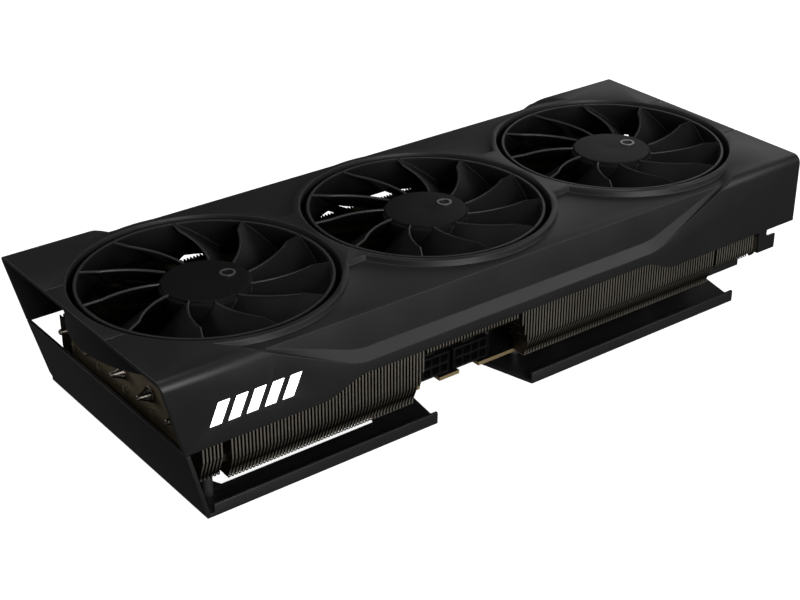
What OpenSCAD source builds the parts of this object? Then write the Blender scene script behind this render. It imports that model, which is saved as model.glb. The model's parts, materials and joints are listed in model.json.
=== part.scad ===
// Triple-fan graphics card, lying on its backplate with the fans facing up.
// Millimetres. +X runs from the open tail end to the bracket end, +Y from the edge with
// the power sockets to the edge with the slot contacts, +Z from the backplate to the fans.
// The origin is on the backplate's resting face, below the middle fan's axis.

/* [Card] */
// Length of the shroud, tail end to bracket end
card_l = 325; // [315:1:335]
// Width of the shroud across its two long walls
card_w = 125; // [123:1:128]
// Height from the backplate's underside to the shroud's top
card_h = 62; // [61:0.5:64]
// How far the tail end leans in for each millimetre of depth
tail_rake = 0.25; // [0.1:0.05:0.3]
// Radius along the shroud's two long top edges
edge_r = 4; // [2:0.5:5]

/* [Fans] */
// Distance between neighbouring fan axes
fan_pitch = 107; // [106:0.5:108]
// Diameter of each round opening in the shroud
opening_d = 104.8; // [104:0.2:105]
// Outer diameter of the fan's ring
ring_d = 100; // [96:0.5:101]
// Diameter of the fan's hub
hub_d = 36.6; // [32:0.2:40]
// Number of blades on each fan
blade_count = 11; // [7:1:13]
// Height of the fan from its lowest blade edge to its ring's top
fan_h = 12.5; // [10:0.5:12.5]

/* [Shroud] */
// Height of the walls' lower edge at the two ends
wall_low = 30.5; // [28:0.5:34]
// Height of the near wall's lower edge along the middle
wall_high = 36.3; // [35:0.1:38]
// Height of the far wall's lower edge along the middle, above the slot
far_wall_high = 40.4; // [38:0.1:40.6]
// Wall thickness of the moulding
shell_t = 2.2; // [1.8:0.1:2.4]
// Depth of the middle zone's step in the top
top_step = 2.5; // [1.5:0.5:3]
// Depth of the middle zone's step in each side
side_step = 3.5; // [2:0.5:4]

/* [Heatsink] */
// Distance from one fin to the next
fin_pitch = 1.52; // [1.4:0.02:3]
// Thickness of a fin
fin_t = 0.4; // [0.3:0.1:0.6]
// Height of the fins' upper edge
fin_top = 46; // [44:0.5:46]
// Diameter of a heat pipe
pipe_d = 6; // [5:0.5:6]
// Number of heat pipes
pipe_count = 5; // [3:1:5]
// Distance between neighbouring heat pipes in the tail block
pipe_pitch = 20.5; // [20:0.5:20.5]
// Height of the heat pipes in the tail block
pipe_high = 34.8; // [34.4:0.2:35]

/* [Circuit board] */
// Height of the board's underside
board_z = 9.2; // [8.8:0.1:9.2]
// Thickness of the board
board_t = 1.6; // [1.2:0.1:1.6]
// Distance of the board's tail edge from the tail end
board_x0 = 117; // [112:1:118]
// Distance of the board's near edge from the near wall
board_y0 = 14; // [12:0.5:14]

/* [Hidden] */
$fn = 64;
eps = 0.01;
cut = 1;

// Places are counted from the tail end and from the near wall.
function at_x(from_tail) = from_tail - card_l / 2;
function at_y(from_near) = from_near - card_w / 2;
function tail_x(z) = at_x(tail_rake * (card_h - z));

head_x = card_l / 2;
opening_r = opening_d / 2;
rim_w = 2.5;
rim_r = opening_r + rim_w;
duct_r = opening_r + 1.5;
duct_low = 47;
top_low = card_h - top_step;
band_low = 41;
band_high = 45;
fan_x = [for (i = [-1:1]) i * fan_pitch];
fan_turn = [139.5, 132, 128];
bridge_w = 20;
bridge_l = 49;

ring_top = card_h - 1;
ring_low = ring_top - fan_h;
ring_t = 1.6;
blade_t = 1.1;
hub_r = hub_d / 2;
hub_top = card_h - 3;
hub_t = 1.6;
shaft_r = 1.5;
bearing_gap = 0.04;
bearing_r = 3;
magnet_out = hub_r - hub_t;
magnet_in = magnet_out - 2;
fin_step = 35.8;
frame_low = 46.3;
frame_t = 1.7;
frame_r = opening_r - 0.3;
strut_count = 4;

backplate_t = 1.5;
lip_h = 5;
lip_t = 1.2;
board_top = board_z + board_t;
board_far = 122;
contact_far = 130;
board_head = card_l - 1.5;
chip_x = 235;
chip_y = 58.5;
chip_t = 1.2;
die_t = 0.8;
cold_low = board_top + chip_t + die_t;
cold_l = 66;
cold_w = 84.4;
screw_dx = 28;
screw_dy = 30;
screw_r = 1.25;

pipe_drop = 16.2;
pipe_low = pipe_high - pipe_drop;
cold_top = pipe_low + 0.5;
bracket_t = 1;
bracket_near = 18;
bracket_far = 138;
bracket_low = 6.6;
bracket_h = 38.7;
tab_l = 11.4;
notch_r = 2.2;
slot_pitch = 20.32;

socket_w = 18.2;
socket_d = 13;
socket_h = 9.6;
socket_x = [118.8, 139];
socket_low = board_top + 1.2;
pin_pitch = 4.2;

// ---------------------------------------------------------------- helpers

// A flat outline in X and Z, made solid across the card from y0 to y1.
module across(y0, y1) {
    translate([0, y1, 0]) rotate([90, 0, 0]) linear_extrude(y1 - y0) children();
}

// A flat outline in Y and Z, made solid along the card from x0 to x1.
module along(x0, x1) {
    translate([x0, 0, 0]) rotate([90, 0, 90]) linear_extrude(x1 - x0) children();
}

// A box from its lowest to its highest corner.
module block(low, high) {
    translate(low) cube(high - low);
}

// A tube on the Z axis, open at both ends.
module ring(r_out, r_in, low, high) {
    translate([0, 0, low]) difference() {
        cylinder(r = r_out, h = high - low);
        translate([0, 0, -cut]) cylinder(r = r_in, h = high - low + 2 * cut);
    }
}

// An S-shaped rise from z0 to z1 between x0 and x1, as a list of points.
function s_curve(x0, x1, z0, z1, steps = 8) = [
    for (i = [0:steps])
        [x0 + (x1 - x0) * i / steps, z0 + (z1 - z0) * (1 - cos(180 * i / steps)) / 2]
];

module mirrored_y() {
    children();
    mirror([0, 1, 0]) children();
}

// ---------------------------------------------------------------- shroud

// Cross-section of the full-size moulding: square below, rounded along the top edges.
module shroud_section(half_w, top, r) {
    translate([-half_w, 0]) square([2 * half_w, top - r]);
    translate([-half_w + r, 0]) square([2 * (half_w - r), top]);
    for (side = [-1, 1]) {
        translate([side * (half_w - r), top - r]) circle(r = r);
    }
}

// Side view: raked tail, upright head, and a lower edge that rises to middle_low along the middle.
module shroud_side_view(middle_low) {
    polygon(concat(
        [[at_x(0), card_h + cut], [at_x(0), card_h], [tail_x(wall_low), wall_low]],
        s_curve(at_x(66), at_x(87), wall_low, middle_low),
        s_curve(at_x(231), at_x(249), middle_low, wall_low),
        [[head_x, wall_low], [head_x, card_h + cut]]
    ));
}

// The step in one long side, with a chamfered lower band that slopes up at both ends.
module side_step_cut() {
    outer = [[38.5, card_h], [82.5, band_low], [237.5, band_low], [280, card_h]];
    inner = [[37.8, card_h], [84.5, band_high], [236, band_high], [284, card_h]];
    hull() {
        across(-card_w / 2 - eps, -card_w / 2) step_outline(outer);
        across(-card_w / 2 + side_step - eps, -card_w / 2 + side_step) step_outline(inner);
    }
}

// A corner b of the outline a, b, c, drawn as a short curve.
function soft_corner(a, b, c, reach = 5, steps = 4) =
    let (start = b + (a - b) / norm(a - b) * reach, end = b + (c - b) / norm(c - b) * reach)
    [for (i = [0:steps]) let (t = i / steps)
        (1 - t) * (1 - t) * start + 2 * t * (1 - t) * b + t * t * end];

module step_outline(p) {
    low_edge = concat([p[0]], soft_corner(p[0], p[1], p[2]), soft_corner(p[1], p[2], p[3]), [p[3]]);
    polygon(concat(
        [[at_x(p[0][0]), card_h + cut]],
        [for (q = low_edge) [at_x(q[0]), q[1]]],
        [[at_x(p[3][0]), card_h + cut]]
    ));
}

// Outline of the step in the top, drawn in by inset at the tail and at the head.
module top_step_outline(inset) {
    tail_edge = [38.5, 14.5];
    head_edge = [283, 305];
    waist = 36;
    polygon([
        [at_x(tail_edge[0] + inset), -card_w / 2 - eps], [at_x(tail_edge[1] + inset), at_y(waist)],
        [at_x(tail_edge[1] + inset), -at_y(waist)], [at_x(tail_edge[0] + inset), card_w / 2 + eps],
        [at_x(head_edge[0] - inset), card_w / 2 + eps], [at_x(head_edge[1] - inset), -at_y(waist)],
        [at_x(head_edge[1] - inset), at_y(waist)], [at_x(head_edge[0] - inset), -card_w / 2 - eps]
    ]);
}

// The step in the top slopes down to its floor over step_run at both ends.
module top_step_cut() {
    step_run = 6.5;
    hull() {
        translate([0, 0, card_h]) linear_extrude(cut) top_step_outline(0);
        translate([0, 0, top_low]) linear_extrude(eps) top_step_outline(step_run);
    }
}

// Inside of the moulding: narrow behind the stepped middle, full width at the ends and low down.
module shroud_cavity() {
    half_mid = card_w / 2 - side_step - shell_t + 0.3;
    half_full = card_w / 2 - shell_t;
    along(at_x(-cut), head_x + cut) translate([-half_mid, 0]) square([2 * half_mid, top_low - shell_t]);
    along(at_x(-cut), head_x + cut) translate([-half_full, 0]) square([2 * half_full, band_low - 1]);
    across(-half_full, half_full) polygon([
        [at_x(-cut), band_low - 2], [at_x(-cut), card_h - shell_t],
        [at_x(34), card_h - shell_t], [at_x(79), band_low - 2]
    ]);
    across(-half_full, half_full) polygon([
        [at_x(246), band_low - 2], [at_x(290), card_h - shell_t],
        [head_x + cut, card_h - shell_t], [head_x + cut, band_low - 2]
    ]);
}

// The moulding's shell: rounded block, less the steps in its middle and its inside.
module shroud_shell() {
    difference() {
        along(at_x(0), head_x) shroud_section(card_w / 2, card_h, edge_r);
        mirrored_y() side_step_cut();
        top_step_cut();
        shroud_cavity();
    }
}

// Raised rims round the openings, and the bridges that join one rim to the next.
module shroud_rims() {
    for (x = fan_x) {
        translate([x, 0, 0]) ring(rim_r, opening_r - cut, top_low - shell_t, card_h);
    }
    for (side = [-1, 1]) {
        block([side * fan_pitch / 2 - bridge_w / 2, -bridge_l / 2, top_low - shell_t],
              [side * fan_pitch / 2 + bridge_w / 2, bridge_l / 2, card_h]);
    }
}

module shroud() {
    color([0.14, 0.14, 0.15])
    difference() {
        union() {
            intersection() {
                union() {
                    shroud_shell();
                    shroud_rims();
                }
                union() {
                    across(-card_w / 2 - cut, eps) shroud_side_view(wall_high);
                    across(0, card_w / 2 + cut) shroud_side_view(far_wall_high);
                }
            }
            for (x = fan_x) {
                translate([x, 0, 0]) ring(duct_r, opening_r - cut, duct_low, top_low - 1);
            }
        }
        for (x = fan_x) {
            translate([x, 0, duct_low - cut]) cylinder(r = opening_r, h = card_h);
        }
        light_bars(-card_w / 2 - cut, -card_w / 2 + shell_t + cut, 0);
        end_grooves();
    }
}

// Short engraved lines in the top, two at each end.
module end_grooves() {
    groove_l = 8;
    groove_w = 0.6;
    groove_d = 0.4;
    for (x = [at_x(0) - cut, head_x - groove_l], side = [-1, 1]) {
        block([x, side * 23.6 - groove_w / 2, card_h - groove_d],
              [x + groove_l + cut, side * 23.6 + groove_w / 2, card_h + cut]);
    }
}

// ---------------------------------------------------------------- lit mark

// A row of slanted bars, made solid between two depths in the near wall.
module light_bars(y0, y1, gap) {
    bar_w = 5;
    bar_step = 7.6;
    bar_h = 9;
    slant = 4;
    for (i = [0:4]) {
        across(y0, y1) translate([at_x(18 + i * bar_step), wall_high + 2]) polygon([
            [gap, gap], [bar_w - gap, gap],
            [bar_w + slant - gap, bar_h - gap], [slant + gap, bar_h - gap]
        ]);
    }
}

module light_guide() {
    back = -card_w / 2 + shell_t;
    color([0.95, 0.97, 1]) {
        light_bars(-card_w / 2 + 0.2, back + 0.4, 0.1);
        block([at_x(17), back + 0.3, wall_high + 0.5], [at_x(58.5), back + 1.8, wall_high + 11]);
    }
}

module led_board() {
    back = -card_w / 2 + shell_t + 2;
    color([0.1, 0.25, 0.15]) block([at_x(18), back, wall_high + 1], [at_x(58), back + 1, wall_high + 10]);
    color("white") for (i = [0:4]) {
        x = at_x(22 + i * 7.6);
        block([x, back - 0.15, wall_high + 4], [x + 3, back + eps, wall_high + 7]);
    }
}

// ---------------------------------------------------------------- fans

// Angle of a blade's leading edge ahead of its root, at a share u of the way to the ring.
function blade_sweep(u) = 19.5 * (u < 0.75 ? u / 0.75 * 0.93 : 0.93 + (u - 0.75) / 0.25 * 0.07);

// Height of a blade's leading edge at a share u of the way to the ring.
function blade_rise(u) = -2.2 + 2.2 * min(1, u / 0.75);

// A point of a blade: u from root to ring, v from the leading edge to the trailing edge.
function blade_point(u, v, under) =
    let (
        r = hub_r - 1 + u * (ring_d / 2 - ring_t / 2 - hub_r + 1),
        a = blade_sweep(u) - v * (25 - 4 * u),
        z = (ring_top + 0.3 + blade_rise(u)) * (1 - v) + (ring_low + 0.3 + blade_t) * v
            + 0.4 * sin(180 * v) - (under ? blade_t : 0)
    )
    [r * cos(a), r * sin(a), z];

// One swept blade as a closed skin over a grid of points.
module blade(nu = 4, nv = 4) {
    row = nv + 1;
    count = (nu + 1) * row;
    points = concat(
        [for (i = [0:nu], j = [0:nv]) blade_point(i / nu, j / nv, false)],
        [for (i = [0:nu], j = [0:nv]) blade_point(i / nu, j / nv, true)]
    );
    function quad(a, b, c, d) = [[a, c, b], [a, d, c]];
    function grid(i, j) = i * row + j;
    faces = concat(
        [for (i = [0:nu - 1], j = [0:nv - 1])
            each quad(grid(i, j), grid(i, j + 1), grid(i + 1, j + 1), grid(i + 1, j))],
        [for (i = [0:nu - 1], j = [0:nv - 1])
            each quad(count + grid(i, j), count + grid(i + 1, j),
                      count + grid(i + 1, j + 1), count + grid(i, j + 1))],
        [for (i = [0:nu - 1])
            each quad(grid(i, 0), grid(i + 1, 0), count + grid(i + 1, 0), count + grid(i, 0))],
        [for (i = [0:nu - 1])
            each quad(grid(i + 1, nv), grid(i, nv), count + grid(i, nv), count + grid(i + 1, nv))],
        [for (j = [0:nv - 1])
            each quad(grid(0, j + 1), grid(0, j), count + grid(0, j), count + grid(0, j + 1))],
        [for (j = [0:nv - 1])
            each quad(grid(nu, j), grid(nu, j + 1), count + grid(nu, j + 1), count + grid(nu, j))]
    );
    polyhedron(points, faces);
}

module fan_rotor(i) {
    color([0.17, 0.17, 0.18])
    translate([fan_x[i], 0, 0]) {
        difference() {
            union() {
                translate([0, 0, ring_low]) cylinder(r = hub_r, h = hub_top - ring_low);
                for (k = [0:blade_count - 1]) {
                    rotate(fan_turn[i] - blade_sweep(1) + k * 360 / blade_count) blade();
                }
            }
            translate([0, 0, ring_low - cut]) cylinder(r = magnet_out, h = hub_top - hub_t - ring_low + cut);
        }
        ring(ring_d / 2, ring_d / 2 - ring_t, ring_low, ring_top);
        ring(shaft_r + 2, shaft_r, hub_top - hub_t - 2, hub_top - hub_t + eps);
    }
}

module fan_badge(i) {
    color([0.6, 0.61, 0.63]) translate([fan_x[i], 0, 0]) {
        translate([10, 0, 0]) ring(3.2, 2.3, hub_top, hub_top + 0.3);
    }
}

module fan_magnet(i) {
    color([0.25, 0.25, 0.27]) translate([fan_x[i], 0, 0]) {
        ring(magnet_out, magnet_in, ring_low + 0.5, hub_top - hub_t - 0.5);
    }
}

module fan_shaft(i) {
    color("silver") translate([fan_x[i], 0, frame_low + frame_t]) {
        translate([0, 0, 0.2]) cylinder(r = shaft_r, h = hub_top - hub_t - frame_low - frame_t - 0.2);
    }
}

// Sleeve bearing: the shaft turns inside it.
module fan_bearing(i) {
    color([0.75, 0.6, 0.35]) translate([fan_x[i], 0, 0]) {
        ring(bearing_r, shaft_r + bearing_gap, frame_low + frame_t, hub_top - hub_t - 2.4);
    }
}

// Wound core: a ring with poles, fixed round the bearing tube.
module fan_stator(i) {
    pole_count = 8;
    core_low = frame_low + frame_t + 1.2;
    core_high = hub_top - hub_t - 1.5;
    color([0.72, 0.4, 0.2]) translate([fan_x[i], 0, 0]) {
        ring(7, bearing_r + 1, core_low, core_high);
        for (k = [0:pole_count - 1]) {
            rotate(k * 360 / pole_count) block([6.5, -1.2, core_low + 0.6], [magnet_in - 0.5, 1.2, core_high - 0.6]);
        }
    }
}

// Fixed carrier under the rotor: outer ring, struts, motor disc and bearing tube.
module fan_frame(i) {
    color([0.12, 0.12, 0.13]) translate([fan_x[i], 0, 0]) {
        difference() {
            union() {
                ring(frame_r, frame_r - 3.5, frame_low, frame_low + frame_t);
                translate([0, 0, frame_low]) cylinder(r = hub_r - 1.5, h = frame_t);
                for (k = [0:strut_count - 1]) {
                    rotate(20 + k * 360 / strut_count)
                        block([hub_r - 4, -2, frame_low], [frame_r - 1, 2, frame_low + frame_t]);
                }
            }
            for (a = [60:120:300]) {
                rotate(a) translate([hub_r - 5, 0, frame_low - cut]) cylinder(r = 1, h = frame_t + 2 * cut);
            }
        }
        ring(bearing_r + 1, bearing_r, frame_low + frame_t - eps, hub_top - hub_t - 2.6);
    }
}

// ---------------------------------------------------------------- heatsink

// Fin outline from its near edge to its far edge. The lower corners are cut away at a
// slant of height slant_h, foot says how far down the two outer legs reach, and belly how far
// down the fin reaches between them.
module fin_outline(foot, belly, slant_h) {
    slant_w = 4;
    leg_w = 6;
    near = 3;
    far = 111;
    inner = max(belly, foot);
    polygon([
        [at_y(near), foot + slant_h], [at_y(near + slant_w), foot],
        [at_y(near + slant_w + leg_w), foot], [at_y(near + slant_w + leg_w), inner],
        [at_y(far - slant_w - leg_w), inner], [at_y(far - slant_w - leg_w), foot],
        [at_y(far - slant_w), foot], [at_y(far), foot + slant_h],
        [at_y(far), fin_step], [at_y(far - 5), fin_step], [at_y(far - 5), fin_top],
        [at_y(near + 5), fin_top], [at_y(near + 5), fin_step], [at_y(near), fin_step]
    ]);
}

// A short fin whose near edge reaches down to foot; the heat pipes dip below the rest of it.
module short_fin_outline(foot) {
    near = 3;
    far = 111;
    leg_w = 9;
    inner = 39;
    polygon([
        [at_y(near), foot], [at_y(near + leg_w), foot], [at_y(near + leg_w), inner],
        [at_y(far - 5), inner], [at_y(far - 5), fin_top],
        [at_y(near + 5), fin_top], [at_y(near + 5), fin_step], [at_y(near), fin_step]
    ]);
}

function pipe_y(i) = at_y(17.5 + i * pipe_pitch);

// How far each pipe moves sideways towards the processor as it drops. Together with
// the drop these make 3-4-5 triangles, so every bend ends on a whole tenth.
pipe_shift = [21.6, 12.15, 0, -12.15, -21.6];
function pipe_travel(i) = sqrt(pipe_drop * pipe_drop + pipe_shift[i] * pipe_shift[i]);

function fin_count(x0, x1) = floor((x1 - x0) / fin_pitch) + 1;

// Thin folded tabs along the fins' upper edges, joining them from x0 to x1.
module fin_tabs(x0, x1) {
    for (y = [12, 58, 101]) {
        block([at_x(x0), at_y(y), fin_top - 0.4], [at_x(x1), at_y(y) + 3, fin_top]);
    }
}

// Fins from x0 to x1, with a hole in each where every heat pipe passes.
module fin_group(x0, x1, foot, belly, slant_h, shift, pipe_z) {
    for (k = [0:fin_count(x0, x1) - 1]) {
        x = at_x(x0 + k * fin_pitch);
        along(x, x + fin_t) difference() {
            fin_outline(foot, belly, slant_h);
            for (i = [0:pipe_count - 1]) {
                translate([pipe_y(i) + shift * pipe_shift[i], pipe_z]) circle(d = pipe_d);
            }
        }
    }
}

// Short fins, each one pitch further along, with the given heights of their near ends.
module short_fins(x0, feet) {
    for (k = [0:len(feet) - 1]) {
        x = at_x(x0 + k * fin_pitch);
        along(x, x + fin_t) short_fin_outline(feet[k]);
    }
}

module fin_stack_tail() {
    color([0.42, 0.39, 0.34]) {
        fin_group(16, 24.5, 13, 13, 9, 0, pipe_high);
        fin_group(28, 111.7, 10, 10, 9, 0, pipe_high);
        short_fins(113.1, [19, 24]);
        fin_tabs(16, 115);
        for (z = [17, 31]) {
            block([at_x(23.6), at_y(7) + 0.1, z], [at_x(28.2), at_y(7) + 0.7, z + 3]);
        }
    }
}

// Short fins above the power sockets.
module fin_stack_middle() {
    color([0.42, 0.39, 0.34]) {
        short_fins(116.8, [for (k = [1:31]) 31.6]);
        fin_tabs(116.8, 116.8 + 30 * fin_pitch + fin_t);
    }
}

module fin_stack_head() {
    color([0.42, 0.39, 0.34]) {
        short_fins(165.4, [27.5, 22.7, 18.4]);
        fin_group(170, 277, 11.4, cold_top, 9, 1, pipe_low);
        fin_group(279, 303, 16.5, cold_top, 4, 1, pipe_low);
        fin_tabs(165.4, 303);
    }
}

// Small upright flange past the last fin, with one rounded lower corner.
module fin_end_plate() {
    plate_y = at_y(5.5);
    low_z = 16.6;
    corner_r = 3;
    color([0.42, 0.39, 0.34]) across(plate_y, plate_y + 0.6) {
        translate([at_x(303.9), low_z]) square([4.6 - corner_r, 8]);
        translate([at_x(303.9), low_z + corner_r]) square([4.6, 8 - corner_r]);
        translate([at_x(308.5) - corner_r, low_z + corner_r]) circle(r = corner_r);
    }
}

// One heat pipe, drawn in an upright plane: crimped tip, straight run, S-shaped dip of the
// given travel, and a second straight run. The dip slopes 3 down for every 4 along.
module heat_pipe(travel) {
    r = pipe_d / 2;
    bend_r = 15;
    bend_a = atan(3 / 4);
    bend_w = bend_r * 3 / 5;
    bend_h = bend_r / 5;
    bend_x = at_x(113);
    slope_h = travel - 2 * bend_h;
    low_x = bend_x + 2 * bend_w + slope_h * 4 / 3;
    tip_x = at_x(10);
    tip_l = 6;
    end_x = at_x(291);
    translate([tip_x, 0, 0]) rotate([0, 90, 0]) cylinder(r1 = 0.8, r2 = r, h = tip_l);
    translate([tip_x + tip_l, 0, 0]) rotate([0, 90, 0]) cylinder(r = r, h = bend_x - tip_x - tip_l);
    translate([bend_x, 0, -bend_r]) rotate([90, 0, 0]) rotate(90 - bend_a)
        rotate_extrude(angle = bend_a) translate([bend_r, 0]) circle(r = r);
    translate([bend_x + bend_w, 0, -bend_h]) rotate([0, 90 + bend_a, 0]) cylinder(r = r, h = slope_h * 5 / 3);
    translate([low_x, 0, bend_r - travel]) rotate([90, 0, 0]) rotate(-90 - bend_a)
        rotate_extrude(angle = bend_a) translate([bend_r, 0]) circle(r = r);
    translate([low_x, 0, -travel]) rotate([0, 90, 0]) cylinder(r = r, h = end_x - low_x);
    translate([end_x, 0, -travel]) rotate([0, 90, 0]) cylinder(r1 = r, r2 = 1, h = 3);
}

// Each pipe's dip leans sideways, which brings the five closer together over the processor.
module heat_pipes() {
    color([0.62, 0.55, 0.48]) for (i = [0:pipe_count - 1]) {
        translate([0, pipe_y(i), pipe_high]) rotate([atan2(pipe_shift[i], pipe_drop), 0, 0])
            heat_pipe(pipe_travel(i));
    }
}

module cold_plate() {
    color([0.55, 0.5, 0.45]) difference() {
        block([at_x(chip_x) - cold_l / 2, at_y(chip_y) - cold_w / 2, cold_low],
              [at_x(chip_x) + cold_l / 2, at_y(chip_y) + cold_w / 2, cold_top - 0.1]);
        for (i = [0:pipe_count - 1]) {
            translate([at_x(chip_x) - cold_l, pipe_y(i) + pipe_shift[i], pipe_low])
                rotate([0, 90, 0]) cylinder(d = pipe_d, h = 2 * cold_l);
        }
        retention_points() translate([0, 0, cold_low - cut]) cylinder(r = screw_r, h = 3.5 + cut);
    }
}

module retention_points() {
    for (sx = [-1, 1], sy = [-1, 1]) {
        translate([at_x(chip_x) + sx * screw_dx, at_y(chip_y) + sy * screw_dy, 0]) children();
    }
}

// ---------------------------------------------------------------- circuit board

// Places where the board and the cooler stand on the backplate, from the tail end and near wall.
board_posts = [[124, 40], [124, 112], [178, 112], [312, 38], [312, 117], [180, 24]];
cooler_posts = [[22.5, 12.5], [22.5, 108]];

module at_posts(list) {
    for (p = list) {
        translate([at_x(p[0]), at_y(p[1]), 0]) children();
    }
}

module board_outline() {
    latch_w = 10;
    latch_d = 4;
    key_x = card_l - 59;
    head_inset = 18;
    difference() {
        union() {
            translate([at_x(board_x0), at_y(board_y0)]) square([board_head - board_x0, board_far - board_y0]);
            translate([at_x(key_x - 72.6), at_y(board_far - 1)]) square([71.65, contact_far - board_far + 1]);
            translate([at_x(key_x + 0.95), at_y(board_far - 1)]) square([11.65, contact_far - board_far + 1]);
            translate([at_x(key_x - 80), at_y(board_far - 1)]) square([4, contact_far - board_far - 1]);
        }
        for (x = socket_x) {
            translate([at_x(x + 3.2), at_y(board_y0 - cut)]) square([latch_w, latch_d + cut]);
        }
        polygon([
            [at_x(281), at_y(board_y0 - cut)], [at_x(290), at_y(board_y0 + head_inset)],
            [head_x, at_y(board_y0 + head_inset)], [head_x, at_y(board_y0 - cut)]
        ]);
    }
}

module circuit_board() {
    color([0.09, 0.1, 0.1]) difference() {
        translate([0, 0, board_z]) linear_extrude(board_t) board_outline();
        translate([0, 0, board_z - cut]) {
            at_posts(board_posts) cylinder(r = screw_r + 0.25, h = board_t + 2 * cut);
            retention_points() cylinder(r = screw_r + 0.4, h = board_t + 2 * cut);
        }
    }
}

// Gilded slot contacts on both faces of the board's edge, either side of the key.
module edge_contacts() {
    pad_w = 0.7;
    pad_l = 4;
    pad_t = 0.05;
    key_x = card_l - 59;
    color([0.83, 0.66, 0.3])
    for (z = [board_z - pad_t, board_top]) {
        for (k = [0:10]) {
            translate([at_x(key_x + 1.4 + k), at_y(contact_far - pad_l - 0.6), z]) cube([pad_w, pad_l, pad_t]);
        }
        for (k = [0:70]) {
            translate([at_x(key_x - 2.1 - k), at_y(contact_far - pad_l - 0.6), z]) cube([pad_w, pad_l, pad_t]);
        }
    }
}

module gpu_package() {
    half = 20;
    color([0.12, 0.22, 0.14]) block([at_x(chip_x) - half, at_y(chip_y) - half, board_top],
                                    [at_x(chip_x) + half, at_y(chip_y) + half, board_top + chip_t]);
}

module gpu_die() {
    half_l = 10;
    half_w = 8.5;
    color([0.45, 0.46, 0.5]) block([at_x(chip_x) - half_l, at_y(chip_y) - half_w, board_top + chip_t],
                                   [at_x(chip_x) + half_l, at_y(chip_y) + half_w, cold_low]);
}

// Memory chips in a ring round the processor: three on each of two sides, one on each of the others.
memory_spots = concat(
    [for (side = [-1, 1], k = [-1:1]) [chip_x + k * 16, chip_y + side * 36]],
    [for (side = [-1, 1]) [chip_x + side * 28.5, chip_y]]
);

module at_memory() {
    for (p = memory_spots) {
        translate([at_x(p[0]), at_y(p[1]), 0]) children();
    }
}

module memory_chips() {
    color([0.07, 0.07, 0.08]) at_memory() block([-6, -6.5, board_top], [6, 6.5, board_top + chip_t]);
}

module memory_pads() {
    color([0.6, 0.65, 0.72]) at_memory() block([-4, -6, board_top + chip_t], [4, 6, cold_low]);
}

module at_power_phases() {
    for (x = [184, 291], k = [0:5]) {
        translate([at_x(x), at_y(37 + k * 10.5), board_top]) children();
    }
}

phase_h = 4;

module chokes() {
    color([0.3, 0.3, 0.31]) at_power_phases() block([-4, -3.8, 0], [4, 3.8, phase_h]);
}

module power_stages() {
    color([0.06, 0.06, 0.07]) at_power_phases() translate([8, 0, 0]) block([-2.5, -3, 0], [2.5, 3, 0.9]);
}

module capacitors() {
    color([0.55, 0.56, 0.6]) at_power_phases() translate([-9, 0, 0]) {
        cylinder(r = 3, h = phase_h);
        block([-3.2, -3.2, 0], [3.2, 3.2, 0.8]);
    }
}

// ---------------------------------------------------------------- sockets

// Housing of one power socket: two rows of four cavities that open at the near edge.
module power_connector(i) {
    wall = 0.9;
    cavity = pin_pitch - 0.75;
    margin = (socket_w - 4 * pin_pitch) / 2;
    color([0.07, 0.07, 0.08]) translate([at_x(socket_x[i]), at_y(board_y0), board_top]) difference() {
        union() {
            translate([0, 0, socket_low - board_top]) cube([socket_w, socket_d, socket_h]);
            translate([1, 5, 0]) cube([socket_w - 2, socket_d - 5, 2]);
            translate([socket_w / 2 - 3, 2, socket_low - board_top + socket_h - eps]) cube([6, 4, 1.2]);
        }
        for (col = [0:3], row = [0:1]) {
            translate([margin + col * pin_pitch + (pin_pitch - cavity) / 2, -cut,
                       socket_low - board_top + wall / 2 + row * (pin_pitch + 0.2) + 0.3])
                cube([cavity, socket_d - 3 + cut, cavity]);
        }
    }
}

// The sixteen blades inside the two power sockets.
module power_pins() {
    cavity = pin_pitch - 0.75;
    margin = (socket_w - 4 * pin_pitch) / 2;
    color([0.8, 0.7, 0.4]) for (x = socket_x, col = [0:3], row = [0:1]) {
        translate([at_x(x) + margin + (col + 0.5) * pin_pitch - 0.5, at_y(board_y0 + 3),
                   socket_low + 0.75 + row * (pin_pitch + 0.2) + cavity / 2 - 0.5])
            cube([1, socket_d - 6, 1]);
    }
}

// A folded metal socket shell with its plastic tongue, open towards the bracket.
module screen_socket(w, h, tongue_w) {
    depth = 15;
    wall = 0.5;
    difference() {
        cube([depth, w, h]);
        translate([2, wall, wall]) cube([depth, w - 2 * wall, h - 2 * wall]);
    }
    translate([1.5, (w - tongue_w) / 2, h / 2 - 0.6]) cube([depth - 4, tongue_w, 1.2]);
}

socket_face = head_x + bracket_t;
display_y = [64, 83, 102];
video_y = 42.5;
ear_y = [52.85, 114.5];

module display_sockets() {
    color([0.7, 0.7, 0.72]) for (y = display_y) {
        translate([socket_face - 15, at_y(y) - 8.8, board_top]) screen_socket(17.6, 6.6, 12);
    }
}

module video_socket() {
    color([0.7, 0.7, 0.72]) translate([socket_face - 15, at_y(video_y) - 8, board_top]) {
        screen_socket(16, 6.4, 11);
    }
}

// ---------------------------------------------------------------- bracket

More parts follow.
